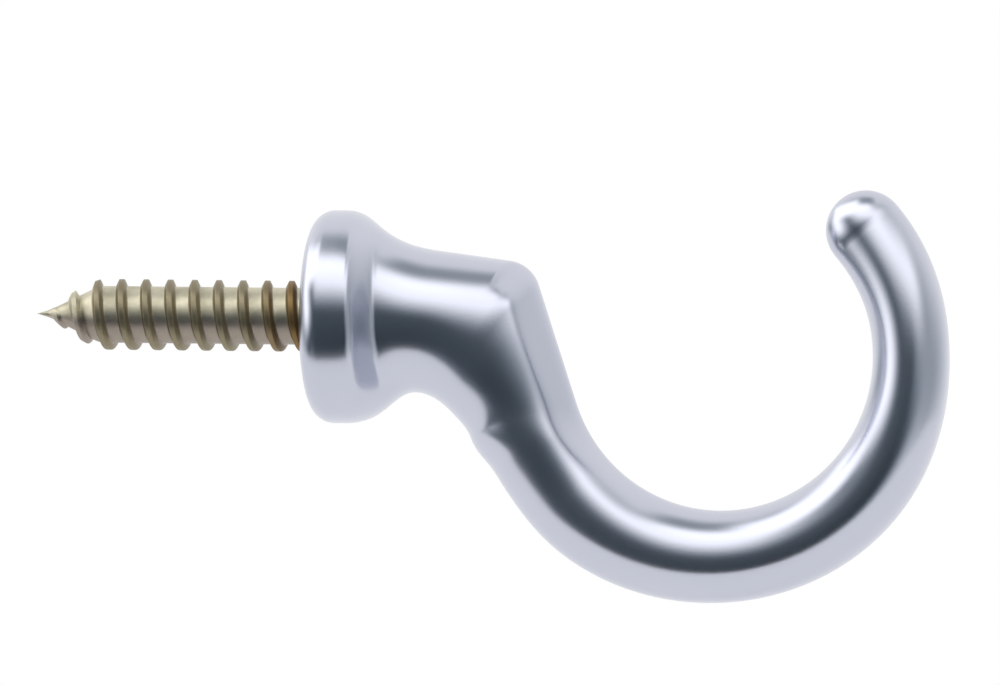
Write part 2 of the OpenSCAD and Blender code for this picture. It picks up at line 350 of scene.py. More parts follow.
class ShapeTree:
    """A Geometry Nodes tree with named inputs, which turns a row of stations into a closed skin."""

    def __init__(self, name: str) -> None:
        """Starts the tree, with its stations going in and its skin coming out.

        Args:
            name: The tree's name.
        """
        self.tree = bpy.data.node_groups.new(name, "GeometryNodeTree")
        self.make = NodeMaker(self.tree)
        self.identifiers: dict[str, str] = {}
        self.tree.interface.new_socket("Skin", in_out="OUTPUT", socket_type="NodeSocketGeometry")
        self.start = self.make.node("NodeGroupInput")
        self.stations = self.add_input("Stations", "NodeSocketGeometry")

    def add_input(self, name: str, kind: str = "NodeSocketFloat") -> Term:
        """Adds a named input.

        Args:
            name: The input's name.
            kind: The type of its socket.

        Returns:
            What comes in by it.
        """
        item = self.tree.interface.new_socket(name, in_out="INPUT", socket_type=kind)
        self.identifiers[name] = item.identifier
        return Term(self.make, self.start.outputs[name])

    def add_inputs(self, names: Sequence[str], kind: str = "NodeSocketFloat") -> list[Term]:
        """Adds several inputs of one kind."""
        return [self.add_input(name, kind) for name in names]

    def read(self, name: str, station: Term, kind: str = "FLOAT") -> Term:
        """Reads a value that the stations carry.

        Args:
            name: The attribute's name, or "position".
            station: The station's number.
            kind: FLOAT or FLOAT_VECTOR.

        Returns:
            The value.
        """
        if name == "position":
            value = self.make.result("GeometryNodeInputPosition", {})
        else:
            value = self.make.result(
                "GeometryNodeInputNamedAttribute", {"Name": name}, "Attribute", data_type=kind
            )
        fed = {"Geometry": self.stations, "Value": value, "Index": station}
        settings = {"data_type": kind, "domain": "POINT"}
        return self.make.result("GeometryNodeSampleIndex", fed, "Value", **settings)

    def grid(self, rows: Term, columns: Term) -> tuple[Term, Term, Term]:
        """Makes the net that becomes the skin.

        Args:
            rows: The number of rows, one for each ring.
            columns: The number of points in a row.

        Returns:
            The net, and the row and the column of each of its points.
        """
        make = self.make
        fed = {"Vertices X": rows, "Vertices Y": columns}
        net = make.result("GeometryNodeMeshGrid", fed, "Mesh")
        index = make.result("GeometryNodeInputIndex", {})
        # The half keeps the last digit of the division from lowering a whole number.
        row = make.math("FLOOR", (index + 0.5) / columns)
        return net, row, index - row * columns

    def close(self, net: Term, position: Term, finish: Term, merge: float = 1e-6) -> None:
        """Moves the net's points to their places and closes its seam and poles.

        Args:
            net: The net.
            position: The place of each of its points.
            finish: The input that holds the material.
            merge: Points nearer than this become one, in metres.
        """
        steps = (
            ("GeometryNodeSetPosition", {"Position": position}),
            ("GeometryNodeMergeByDistance", {"Distance": merge}),
            ("GeometryNodeSetShadeSmooth", {}),
            ("GeometryNodeRealizeInstances", {}),
            ("GeometryNodeSetMaterial", {"Material": finish}),
        )
        for kind, values in steps:
            net = self.make.result(kind, {"Geometry": net, **values})
        self.make.feed(self.make.node("NodeGroupOutput"), {"Skin": net})

    def skin(
        self, name: str, stations: bpy.types.Mesh, values: dict[str, Any]
    ) -> bpy.types.Object:
        """Runs the tree on a row of stations and keeps the result as a plain mesh.

        Args:
            name: The name of the piece.
            stations: The mesh whose points are the stations.
            values: A value for each named input.

        Returns:
            The finished piece, with its place in its mesh and its faces pointing outwards.
        """
        holder = placed(name + "_stations", stations)
        modifier = holder.modifiers.new(self.tree.name, "NODES")
        modifier.node_group = self.tree
        for key, value in values.items():
            modifier[self.identifiers[key]] = value
        evaluated = holder.evaluated_get(bpy.context.evaluated_depsgraph_get())
        mesh = bpy.data.meshes.new_from_object(evaluated)
        holder.modifiers.remove(modifier)
        bpy.data.objects.remove(holder)
        mesh.name = name
        turn_outwards(mesh)
        return placed(name, mesh)


def turn_outwards(mesh: bpy.types.Mesh) -> None:
    """Flips a closed mesh whose faces point inwards, which its signed volume tells.

    Args:
        mesh: The mesh.
    """
    mesh.calc_loop_triangles()
    places = np.empty(len(mesh.vertices) * 3)
    mesh.vertices.foreach_get("co", places)
    places = places.reshape(-1, 3)
    corners = np.empty(len(mesh.loop_triangles) * 3, dtype=np.int32)
    mesh.loop_triangles.foreach_get("vertices", corners)
    a, b, c = (places[corners.reshape(-1, 3)[:, i]] for i in range(3))
    if np.einsum("ij,ij->i", a, np.cross(b, c)).sum() < 0:
        mesh.flip_normals()


def station_mesh(name: str, places: np.ndarray, values: dict[str, np.ndarray]) -> bpy.types.Mesh:
    """Makes a mesh of loose points that carry values.

    Args:
        name: The mesh's name.
        places: The points, one row of x, y and z each, in metres.
        values: Arrays with one number or one vector for each point.

    Returns:
        The mesh.
    """
    mesh = bpy.data.meshes.new(name)
    mesh.from_pydata([tuple(place) for place in places], [], [])
    for key, value in values.items():
        flat = np.asarray(value, dtype=np.float32)
        kind, slot = ("FLOAT", "value") if flat.ndim == 1 else ("FLOAT_VECTOR", "vector")
        mesh.attributes.new(key, kind, "POINT").data.foreach_set(slot, flat.ravel())
    return mesh


def mask_group(
    name: str, inputs: Sequence[str], rule: Callable[..., Term]
) -> bpy.types.ShaderNodeTree:
    """Gives a shader node group that makes a mask, which is built once.

    Args:
        name: The group's name.
        inputs: The names of its inputs, which are all numbers.
        rule: Makes the mask, from the group's node maker and what comes in by each input.

    Returns:
        The group, whose output is Mask.
    """
    known = bpy.data.node_groups.get(name)
    if known:
        return known
    group = bpy.data.node_groups.new(name, "ShaderNodeTree")
    for key in inputs:
        group.interface.new_socket(key, in_out="INPUT", socket_type="NodeSocketFloat")
    group.interface.new_socket("Mask", in_out="OUTPUT", socket_type="NodeSocketFloat")
    make = NodeMaker(group)
    start = make.node("NodeGroupInput")
    mask = rule(make, *(Term(make, start.outputs[key]) for key in inputs))
    make.feed(make.node("NodeGroupOutput"), {"Mask": mask})
    return group


class Effect(Enum):
    """Shader node groups that both finishes use, with their noise's detail and roughness.

    GRAIN is the fine relief of the plating and CLOUD its slow change over the surface.
    """

    GRAIN = ("plating_grain", 2.0, 0.7)
    CLOUD = ("plating_cloud", 3.0, 0.5)


@dataclass(frozen=True)
class Noise:
    """The values with which a finish uses a shared effect.

    Attributes:
        scale: How many waves a metre holds.
        contrast: How far the mask goes from its middle grey.
        seed: Which of the patterns it is.
    """

    scale: float
    contrast: float
    seed: float


@dataclass(frozen=True)
class Finish:
    """What the finishes share: a plated metal with slow clouds and a fine grain.

    Attributes:
        slot: The slot that it fills.
        cloud: Its slow change over the surface.
        grain: The fine relief of its plating.
        rough_by: The effect by which its roughness changes.
        roughness: Its lowest and highest roughness.
        depth: The grain's depth, in millimetres.
        strength: How much of the grain shows.
    """

    slot: str
    cloud: Noise
    grain: Noise
    rough_by: Effect
    roughness: tuple[float, float]
    depth: float
    strength: float

    def effect(self, make: NodeMaker, effect: Effect, noise: Noise) -> Term:
        """Places a shared effect.

        Args:
            make: The material's node maker.
            effect: The effect.
            noise: The values with which it is used.

        Returns:
            Its mask, from 0 to 1.
        """
        name, detail, roughness = effect.value

        def rule(make: NodeMaker, scale: Term, contrast: Term, seed: Term) -> Term:
            """Makes the mask from noise in the piece's own space.

            Args:
                make: The group's node maker.
                scale: How many waves a metre holds.
                contrast: How far the mask goes from its middle grey.
                seed: Which of the patterns it is.

            Returns:
                The mask.
            """
            place = make.result("ShaderNodeTexCoord", {}, "Object")
            fed = {"Vector": place, "W": seed, "Scale": scale}
            fed |= {"Detail": detail, "Roughness": roughness}
            waves = make.result("ShaderNodeTexNoise", fed, noise_dimensions="4D")
            return make.held((waves - 0.5) * contrast + 0.5)

        group = mask_group(name, ("Scale", "Contrast", "Seed"), rule)
        fed = {"Scale": noise.scale, "Contrast": noise.contrast, "Seed": noise.seed}
        return make.result("ShaderNodeGroup", fed, "Mask", node_tree=group)

    def colour(self, make: NodeMaker, cloud: Term) -> Term:
        """Gives the metal's colour, which each finish makes in its own way."""
        raise NotImplementedError

    def build(self) -> bpy.types.Material:
        """Makes the material.

        Returns:
            The material, which is named for its slot.
        """
        material = bpy.data.materials.new(self.slot)
        material.use_nodes = True
        make = NodeMaker(material.node_tree)
        uses = {Effect.CLOUD: self.cloud, Effect.GRAIN: self.grain}
        masks = {effect: self.effect(make, effect, noise) for effect, noise in uses.items()}
        low, high = self.roughness
        grain = {"Strength": self.strength, "Distance": self.depth * MM}
        grain["Height"] = masks[Effect.GRAIN]
        metal = {
            "Base Color": self.colour(make, masks[Effect.CLOUD]),
            "Roughness": masks[self.rough_by] * (high - low) + low,
            "Metallic": 1.0,
            "Normal": make.result("ShaderNodeBump", grain),
        }
        make.feed(material.node_tree.nodes["Principled BSDF"], metal)
        return material


@dataclass(frozen=True)
class SatinChrome(Finish):
    """Satin chrome on a smooth casting: a pale, cool metal with a pearly fine grain."""

    slot: str = "satin_chrome"
    cloud: Noise = Noise(110.0, 1.6, 3.0)
    grain: Noise = Noise(5200.0, 1.8, 0.0)
    rough_by: Effect = Effect.CLOUD
    roughness: tuple[float, float] = (0.2, 0.24)
    depth: float = 0.005
    strength: float = 0.35
    bright: Colour = (0.59, 0.605, 0.69)
    shaded: Colour = (0.56, 0.575, 0.66)

    def colour(self, make: NodeMaker, cloud: Term) -> Term:
        """Gives the chrome's colour, a little darker in its clouds."""
        return make.ramp(cloud, ((0, self.shaded), (1, self.bright)))


@dataclass(frozen=True)
class YellowZinc(Finish):
    """Yellow passivated zinc on rolled steel: straw to olive, darker mauve below as painted shade,
    brown on the thread.

    Attributes:
        thread_zone: The radii from which and to which the thread's darker, browner colour comes in.
        painted_shade_zone: The heights between which the painted shade, a darker mauve on the
            underside, comes in.
        base_zone: The places along the screw between which the thread gets browner.
        cloud_zone: The places in the clouds between which olive turns into straw.
    """

    slot: str = "yellow_zinc"
    cloud: Noise = Noise(420.0, 2.4, 1.0)
    grain: Noise = Noise(2600.0, 2.0, 5.0)
    rough_by: Effect = Effect.GRAIN
    roughness: tuple[float, float] = (0.38, 0.5)
    depth: float = 0.008
    strength: float = 0.5
    straw: Colour = (0.64, 0.595, 0.46)
    olive: Colour = (0.44, 0.41, 0.30)
    # Painted shade: a darker mauve that the screw's underside takes, where less light falls.
    painted_shade_mauve: Colour = (0.35, 0.30, 0.255)
    # A darker olive brown for the thread's flanks and crests.
    thread_tone: Colour = (0.28, 0.24, 0.16)
    brown: Colour = (0.23, 0.15, 0.065)
    thread_zone: tuple[float, float] = (2.02, 2.2)
    # Heights in millimetres over which the painted shade of the underside comes in.
    painted_shade_zone: tuple[float, float] = (0.3, -0.7)
    base_zone: tuple[float, float] = (-5.0, -1.0)
    cloud_zone: tuple[float, float] = (0.2, 0.7)

    def colour(self, make: NodeMaker, cloud: Term) -> Term:
        """Gives the zinc's colour by the place on the screw, with painted shade on the underside.

        Args:
            make: The material's node maker.
            cloud: The mask of the clouds.

        Returns:
            The colour.
        """

        def entering(value: Term, zone: tuple[float, float]) -> Term:
            """Goes from 0 to 1 through a zone, whose ends are in millimetres."""
            return make.ease(value, zone[0] * MM, zone[1] * MM)

        x, y, z = make.parts(make.result("ShaderNodeTexCoord", {}, "Object"))
        radius = make.math("SQRT", y * y + z * z)
        plating = make.ramp(cloud, tuple(zip(self.cloud_zone, (self.olive, self.straw))))
        # Painted shade: the core's colour turns to darker mauve towards the underside.
        core = make.blend(plating, self.painted_shade_mauve, entering(z, self.painted_shade_zone))
        thread = make.blend(self.thread_tone, self.brown, entering(x, self.base_zone))
        return make.blend(core, thread, entering(radius, self.thread_zone))


@dataclass(frozen=True)
class Station:
    """One section of the body: an oval whose inner side may carry a creased, roofed face.

    Attributes:
        outer: The point [x, z] on its outer side.
        inward: The unit direction [x, z] to its inner side.
        thickness: Its thickness in that direction.
        edge: Direction of the face's edges from the widest line, in degrees.
        share: The share of the thickness that lies outside its widest line.
        half: Half its width across.
        cut: Depth by which the face cuts the oval.
        fall: Fall of the face from its ridge, for each millimetre across.
        sharpness: Sharpness of the face's edges.
        shrink: Factor by which the section is shrunk about its middle.
        shift: Vector [x, z] by which it is moved.
    """

    outer: np.ndarray
    inward: np.ndarray
    thickness: float
    edge: float
    share: float = 0.5
    half: float = 1.0
    cut: float = 0.0
    fall: float = 0.0
    sharpness: float = 9.0
    shrink: float = 1.0
    shift: tuple[float, float] = (0.0, 0.0)

    def origin(self) -> np.ndarray:
        """Finds the place of the section.

        Returns:
            The point [x, z] from which its skin is measured.
        """
        widest = self.outer + self.inward * self.thickness * self.share
        middle = self.outer + self.inward * self.thickness / 2
        return middle + (widest - middle) * self.shrink + np.array(self.shift)

    def ended(self, shrink: float, shift: np.ndarray) -> "Station":
        """Gives the same section, shrunk and moved."""
        return replace(self, shrink=shrink, shift=tuple(shift))


def ring_station(x: float, radius: float, edge: float) -> Station:
    """Gives a round section about the screw's axis.

    Args:
        x: Its place along the axis.
        radius: Its radius, which is 0 where the skin closes.
        edge: Direction in which it carries the edges of the next sections' face, in degrees.

    Returns:
        The section.
    """
    shown = max(radius, LEAST_RING)
    low, up = np.array([x, -shown]), np.array([0.0, 1.0])
    return Station(low, up, 2 * shown, edge, half=shown, shrink=radius / shown)


@dataclass
class HookBody:
    """The cast body: a round base, a neck, and a bar that turns down and round to a blunt tip.

    Angles are seen from the hook's centre and grow from the root of the arm to the tip.  Places
    run along the bend, from 0 at the neck to 1 at the arm.
    """

    name: str = "hook_body_skin"
    node: str = "hook_body"
    finish: Finish = field(default_factory=SatinChrome)

    base_d: float = 15.0
    base_edge_r: float = 1.5
    base_band: float = 0.8
    shoulder_top: float = 2.2
    shoulder_low: float = 3.0
    flank_start: float = 3.4
    flank_end: float = 5.3
    recess_d: float = 6.4
    recess_depth: float = 0.8

    neck_d: float = 10.1
    neck_slope: float = 7.3
    neck_fair_top: float = 4.6
    neck_fair_low: float = 1.9
    bend_x: float = 6.95
    bend_drop: float = 9.95
    bend_r: float = 4.7
    bend_mid_r: float = 4.46
    bend_end_r: float = 4.65
    corner_r: float = 2.5

    hook_x: float = 29.1
    hook_drop: float = 2.5
    hook_r: float = 10.85
    tip_rise: float = 41.2
    arm_t: float = 7.2
    entry_t: float = 7.1
    bottom_t: float = 6.5
    rise_t: float = 6.05
    side_t: float = 5.35
    tip_t: float = 5.65
    tip_lean: float = 0.1

    corner_w: float = 9.8
    root_w: float = 8.6
    arm_w: float = 7.4
    bottom_w: float = 6.7
    side_w: float = 7.4
    tip_w: float = 4.6
    tip_taper: float = 3.0
    bottom_share: float = 0.44

    arm_angle: float = 208.0
    mid_angle: float = 225.0
    entry_angle: float = 232.0
    low_angle: float = 270.0
    rise_angle: float = 315.0
    side_angle: float = 360.0
    lean_angle: float = 372.0
    edge_place: float = 0.35
    corner_place: float = 0.5
    bend_place: float = 0.6

    face_fall: float = 0.5
    face_cut: float = 0.4
    low_cut: float = 0.1
    edge_sharpness: float = 40.0
    round_sharpness: float = 9.0
    ridge_ease: float = 0.12
    neck_edge: float = 46.0
    bend_mid_edge: float = 56.0
    root_edge: float = 61.0
    arm_edge: float = 50.0
    round_edge: float = 35.0

    bore_r: float = 2.22
    bore_end: float = 7.42
    groove_r: float = 1.77
    groove_start: float = 3.42
    groove_end: float = 4.78
    rounding: float = 0.08

    corner_steps: int = 5
    shoulder_steps: int = 44
    bend_steps: int = 90
    hook_steps: int = 150
    tip_steps: int = 18
    rim_steps: int = 14
    face_steps: int = 32
    back_steps: int = 44
    crowding: float = 1.6

    def __post_init__(self) -> None:
        """Works out the centres, lines and directions that the sections share."""
        self.bend_c = np.array([self.bend_x, -self.bend_drop])
        self.hook_c = np.array([self.hook_x, -self.hook_drop])
        self.face_dir = bearing(self.hook_c - self.bend_c)
        self.neck_dir = 90 - self.neck_slope
        self.neck_line = self.bend_r + self.neck_d
        self.face_line = float(np.linalg.norm(self.hook_c - self.bend_c)) - self.hook_r
        self.root_t = self.face_line - self.bend_end_r
        self.root_angle = 180 + self.face_dir
        self.tip_angle = 360 + self.tip_rise
        self.ridge_corner_r = self.corner_r / 2
        self.shoulder_x = self.base_edge_r + self.base_band
        self.flank = ((self.flank_start, self.base_d / 2), (self.flank_end, self.neck_d / 2))
        root, tip, low = self.root_angle, self.tip_angle, self.low_angle
        side, mid = self.side_angle, self.mid_angle
        crisp, half_crisp, dull = self.edge_sharpness, self.edge_sharpness / 2, self.round_sharpness
        self.bend_half = (
            (0, self.neck_d / 2),
            (self.corner_place, self.corner_w / 2),
            (1, self.root_w / 2),
        )
        self.bend_sharp = ((0, crisp), (self.bend_place, crisp), (1, half_crisp))
        self.bend_edge = (
            (0, self.neck_edge),
            (self.edge_place, self.neck_edge),
            (self.bend_place, self.bend_mid_edge),
            (1, self.root_edge),
        )
        self.bend_low = ((0, self.bend_r), (self.bend_place, self.bend_mid_r), (1, self.bend_end_r))
        # The last width lies past the tip, so that the bar still narrows where it ends.
        self.hook_half = (
            (root, self.root_w / 2),
            (mid, self.arm_w / 2),
            (low, self.bottom_w / 2),
            (side, self.side_w / 2),
            (tip, self.tip_w / 2),
            (2 * tip - side, self.tip_w / 2 - self.tip_taper),
        )
        self.hook_thick = (
            (root, self.root_t),
            (self.arm_angle, self.arm_t),
            (self.entry_angle, self.entry_t),
            (low, self.bottom_t),
            (self.rise_angle, self.rise_t),
            (side, self.side_t),
            (tip, self.tip_t),
        )
        self.hook_lean = ((self.lean_angle, 0), (tip, self.tip_lean))
        self.hook_share = (
            (root, 0.5),
            (low, self.bottom_share),
            (side, self.bottom_share),
            (tip, 0.5),
        )
        self.hook_cut = ((root, self.face_cut), (low, self.low_cut), (tip, 0))
        self.hook_sharp = ((root, half_crisp), (mid, dull), (tip, dull))
        self.hook_edge = (
            (root, self.root_edge),
            (mid, self.arm_edge),
            (low, self.round_edge),
            (tip, self.round_edge),
        )

    def top_distance(self, angle: float, line: float, corner: float) -> float:
        """Measures from the bend's centre to the neck's top, the rounded corner or the arm's face.

        Args:
            angle: The direction, in degrees.
            line: Distance of the face's line from the bend's centre.
            corner: Radius of the corner.

        Returns:
            The distance.
        """
        p, q = self.neck_line - corner, line - corner
        neck, face = along(self.neck_dir), along(self.face_dir)
        turn = math.sin(math.radians(self.neck_dir - self.face_dir))
        centre = np.array([q * neck[1] - p * face[1], p * face[0] - q * neck[0]]) / turn
        if angle >= bearing(centre + corner * neck):
            return self.neck_line / math.cos(math.radians(angle - self.neck_dir))
        if angle <= bearing(centre + corner * face):
            return line / math.cos(math.radians(angle - self.face_dir))
        reach = float(centre @ along(angle))
        return reach + math.sqrt(max(corner**2 - float(centre @ centre) + reach**2, 0))

    def base_stations(self) -> list[Station]:
        """Walks the base: the bore, the recess, the wall face and the rim.

        Returns:
            The sections, from the bore's end to the band round the base.
        """
        edge_c = self.base_d / 2 - self.base_edge_r
        corners = (
            (self.bore_end, 0),
            (self.bore_end, self.bore_r),
            (self.groove_end, self.bore_r),
            (self.groove_end, self.groove_r),
            (self.groove_start, self.groove_r),
            (self.groove_start, self.bore_r),
            (self.recess_depth, self.bore_r),
            (self.recess_depth, self.recess_d / 2),
            (0, self.recess_d / 2),
            (0, edge_c),
        )
        walk = rounded([(x, radius, self.rounding) for x, radius in corners], self.corner_steps)
        for i in range(1, self.rim_steps + 1):
            out = along(90 * i / self.rim_steps)
            rim = [self.base_edge_r * (1 - out[0]), edge_c + self.base_edge_r * out[1]]
            walk.append(np.array(rim))
        band_x = (self.base_edge_r + self.shoulder_x) / 2
        walk.append(np.array([band_x, self.base_d / 2]))
        return [ring_station(x, radius, self.neck_edge) for x, radius in walk]

    def shoulder_station(self, share: float) -> Station:
        """Gives a section of the shoulder.

        Args:
            share: How far along it is, from 0 at the base's band to 1 at the neck.

        Returns:
            The section.
        """
        run = along(-self.neck_slope)
        rim = self.base_d / 2

        def edge(side: int, out: float, line: float, fair: float) -> np.ndarray:
            """Finds where the section starts or ends.

            Args:
                side: 1 for its top side, -1 for its low side.
                out: How far the curve runs straight out of the band.
                line: Distance of the neck's side from the bend's centre.
                fair: How far the curve runs along the neck.

            Returns:
                The point [x, z].
            """
            band = np.array([self.shoulder_x, side * rim])
            neck = self.bend_c + line * along(self.neck_dir)
            return cubic((band, band + np.array([out, 0]), neck - fair * run, neck), share)

        top = edge(1, self.shoulder_top, self.neck_line, self.neck_fair_top)
        low = edge(-1, self.shoulder_low, self.bend_r, self.neck_fair_low)
        d = float(np.linalg.norm(top - low))
        fall = share * self.face_fall / math.cos(math.radians(self.neck_dir - self.face_dir))
        return Station(
            low,
            (top - low) / d,
            d,
            half=through(self.flank, (top[0] + low[0]) / 2),
            fall=fall,
            sharpness=self.edge_sharpness,
            edge=self.neck_edge,
        )

    def bend_station(self, u: float) -> Station:
        """Gives a section of the bend.

        Args:
            u: How far along it is, from 0 at the neck to 1 at the arm.

        Returns:
            The section.
        """
        angle = mix(self.neck_dir, self.face_dir, u)
        reach = self.top_distance(angle, self.face_line, self.corner_r)
        whole = self.top_distance(angle, self.face_line + self.face_cut, self.ridge_corner_r)
        low = through(self.bend_low, u)
        outer = through(((0, self.neck_d / 2), (1, self.root_t / 2)), u)
        return Station(
            self.bend_c + low * along(angle),
            along(angle),
            reach - low,
            share=outer / (reach - low),
            half=through(self.bend_half, u),
            cut=max(whole - reach, 0),
            fall=self.face_fall / math.cos(math.radians(angle - self.face_dir)),
            sharpness=through(self.bend_sharp, u),
            edge=through(self.bend_edge, u),
        )

    def hook_station(self, angle: float) -> Station:
        """Gives a section of the arm, the bowl or the tip.

        Args:
            angle: Its direction from the hook's centre, in degrees.

        Returns:
            The section.
        """
        thickness = through(self.hook_thick, angle)
        reach = self.hook_r - through(self.hook_lean, angle) + thickness
        return Station(
            self.hook_c + reach * along(angle),
            -along(angle),
            thickness,
            share=through(self.hook_share, angle),
            half=through(self.hook_half, angle),
            cut=through(self.hook_cut, angle),
            fall=self.face_fall,
            sharpness=through(self.hook_sharp, angle),
            edge=through(self.hook_edge, angle),
        )

    def stations(self) -> list[Station]:
        """Lists all sections in order.

        Returns:
            The sections, from the bore's end to the tip.
        """
        row = self.base_stations()
        row += [self.shoulder_station(i / self.shoulder_steps) for i in range(self.shoulder_steps)]
        row += [self.bend_station(i / self.bend_steps) for i in range(self.bend_steps)]
        for i in range(self.hook_steps):
            angle = mix(self.root_angle, self.tip_angle, i / self.hook_steps)
            row.append(self.hook_station(angle))
        tip = self.hook_station(self.tip_angle)
        run = along(self.tip_angle + 90) * self.tip_t / 2
        for i in range(self.tip_steps + 1):
            turn = along(90 * i / self.tip_steps)
            row.append(tip.ended(max(turn[0], 0.0), run * turn[1]))
        return row

    def tree(self) -> ShapeTree:
        """Builds the rule that turns each section into a ring of skin.

        Returns:
            The tree.
        """
        shape = ShapeTree("body_sections")
        make = shape.make
        counts = shape.add_inputs(("Rings", "Face steps", "Back steps"), "NodeSocketInt")
        rings, face_steps, back_steps = counts
        crowding, ease = shape.add_inputs(("Crowding", "Ridge ease"))
        finish = shape.add_input("Finish", "NodeSocketMaterial")
        half_turn = face_steps + back_steps
        whole_turn = half_turn * 2.0
        net, row, column = shape.grid(rings, whole_turn + 1.0)

        step = make.math("MINIMUM", column, whole_turn - column)
        side = make.math("GREATER_THAN", column, half_turn) * 2.0 - 1.0
        face_share = 1.0 - (1.0 - make.held(step / face_steps)) ** crowding
        back_share = make.held((step - face_steps) / back_steps) ** crowding
        edge = shape.read("edge", row)
        angle = edge * face_share + (math.pi - edge) * back_share
        cos, sin = make.math("COSINE", angle), make.math("SINE", angle)

        outer, reach, half = (shape.read(key, row) for key in ("outer", "reach", "half"))
        whole = reach + shape.read("cut", row)
        axis = make.math("GREATER_THAN", cos, 0.0) * (whole - outer) + outer
        sharp = shape.read("sharpness", row)
        oval = make.math("SQRT", (cos * reach / axis) ** 2.0 + (sin * reach / half) ** 2.0)
        slant = make.math("SQRT", sin**2.0 + ease**2.0) - ease
        face = make.math("MAXIMUM", slant * shape.read("fall", row) + cos, 0.0)
        weight = 1.0 - (reach / whole) ** sharp
        both = oval**sharp + weight * face**sharp
        skin = reach * both ** (-1.0 / sharp) * shape.read("shrink", row)

        inward = make.vector("SCALE", shape.read("inward", row, "FLOAT_VECTOR"), skin * cos)
        across = make.combine(0.0, skin * sin * side, 0.0)
        middle = shape.read("position", row, "FLOAT_VECTOR")
        position = make.vector("ADD", middle, make.vector("ADD", inward, across))
        shape.close(net, position, finish)
        return shape

    def build(self) -> bpy.types.Object:
        """Makes the skin of the whole body and lets it stand for the body's node.

        Returns:
            The finished piece.
        """
        row = self.stations()

        def flat(points: Sequence[np.ndarray]) -> np.ndarray:
            """Turns [x, z] points into [x, 0, z] ones."""
            return np.array([[point[0], 0.0, point[1]] for point in points])

        values = {
            "inward": flat([s.inward for s in row]),
            "outer": np.array([s.thickness * s.share for s in row]) * MM,
            "reach": np.array([s.thickness * (1 - s.share) for s in row]) * MM,
            "half": np.array([s.half for s in row]) * MM,
            "cut": np.array([s.cut for s in row]) * MM,
            "fall": np.array([s.fall for s in row]),
            "sharpness": np.array([s.sharpness for s in row]),
            "edge": np.radians([s.edge for s in row]),
            "shrink": np.array([s.shrink for s in row]),
        }
        mesh = station_mesh(self.name + "_stations", flat([s.origin() for s in row]) * MM, values)
        material = self.finish.build()
        piece = self.tree().skin(
            self.name,
            mesh,
            {
                "Rings": len(row),
                "Face steps": self.face_steps,
                "Back steps": self.back_steps,
                "Crowding": self.crowding,
                "Ridge ease": self.ridge_ease,
                "Finish": material,
            },
        )
        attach(piece, "root")
        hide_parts(self.node)
        return piece


